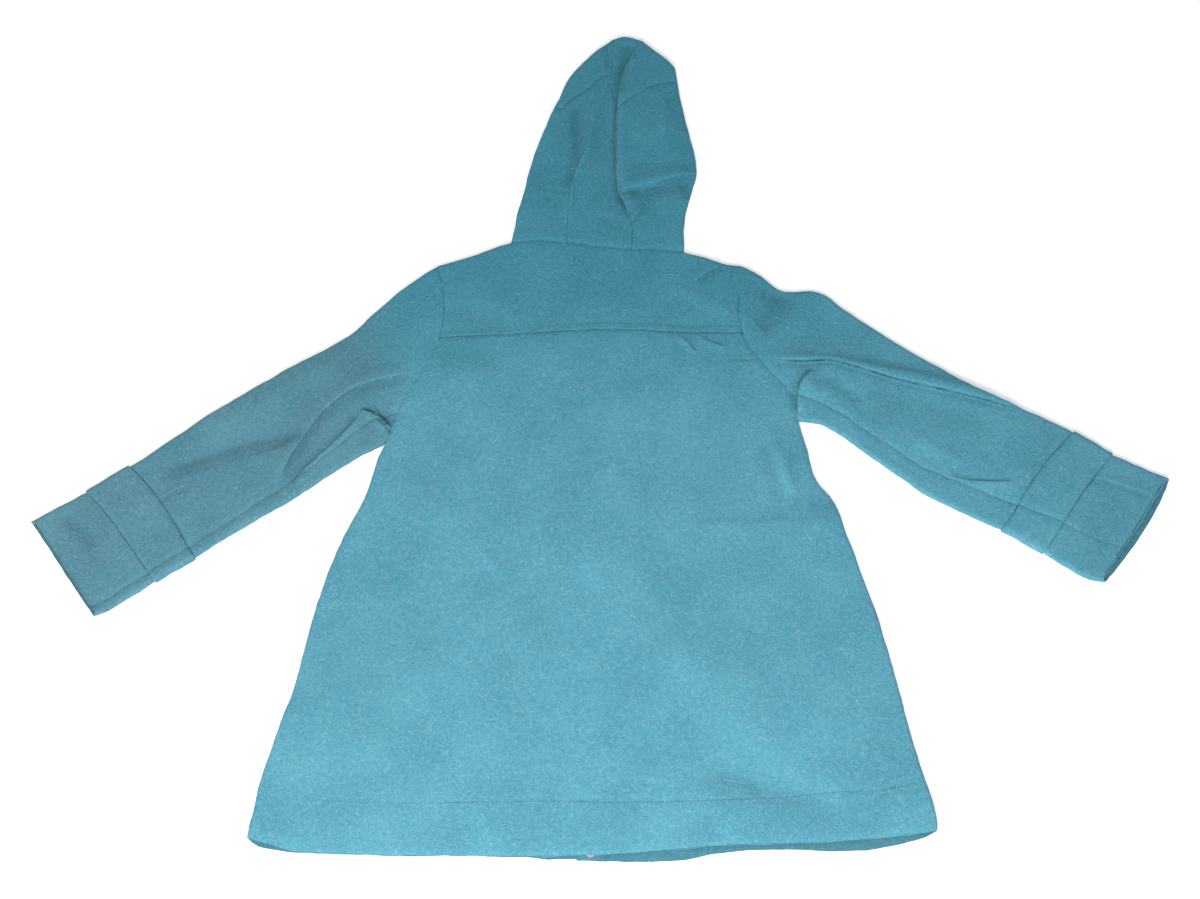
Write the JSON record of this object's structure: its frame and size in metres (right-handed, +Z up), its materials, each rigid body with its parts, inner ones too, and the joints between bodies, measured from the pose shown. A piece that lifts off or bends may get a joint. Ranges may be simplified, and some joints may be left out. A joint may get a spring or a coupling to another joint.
{
  "type": "hooded fleece jacket laid flat face down",
  "caption": "Hooded A-line fleece jacket laid flat face down, back up: yoke, two-piece sleeves with straps, panelled hood.",
  "frame": {"origin": "bottom centre of the bounding box, on the surface that the jacket lies on", "axes": "+X from the left cuff to the right cuff, +Y from the hem to the hood, +Z up from the surface"},
  "size_m": [1.318, 1.0885, 0.0144],
  "materials": {
    "teal_fleece": "matt felted nap",
    "press_stud_metal": "satin"
  },
  "bodies": {
    "root": {"back": "teal_fleece", "back_yoke": "teal_fleece", "front_left": "teal_fleece", "front_right": "teal_fleece", "sleeve_left_upper": "teal_fleece", "sleeve_left_under": "teal_fleece", "strap_left_upper": "teal_fleece", "strap_left_under": "teal_fleece", "hood_side_left": "teal_fleece", "sleeve_right_upper": "teal_fleece", "sleeve_right_under": "teal_fleece", "strap_right_upper": "teal_fleece", "strap_right_under": "teal_fleece", "hood_side_right": "teal_fleece", "hood_middle": "teal_fleece", "hood_band": "teal_fleece", "stud_1": "press_stud_metal", "stud_2": "press_stud_metal", "stud_3": "press_stud_metal", "stud_4": "press_stud_metal", "stud_5": "press_stud_metal", "stud_6": "press_stud_metal"}
  },
  "joints": []
}
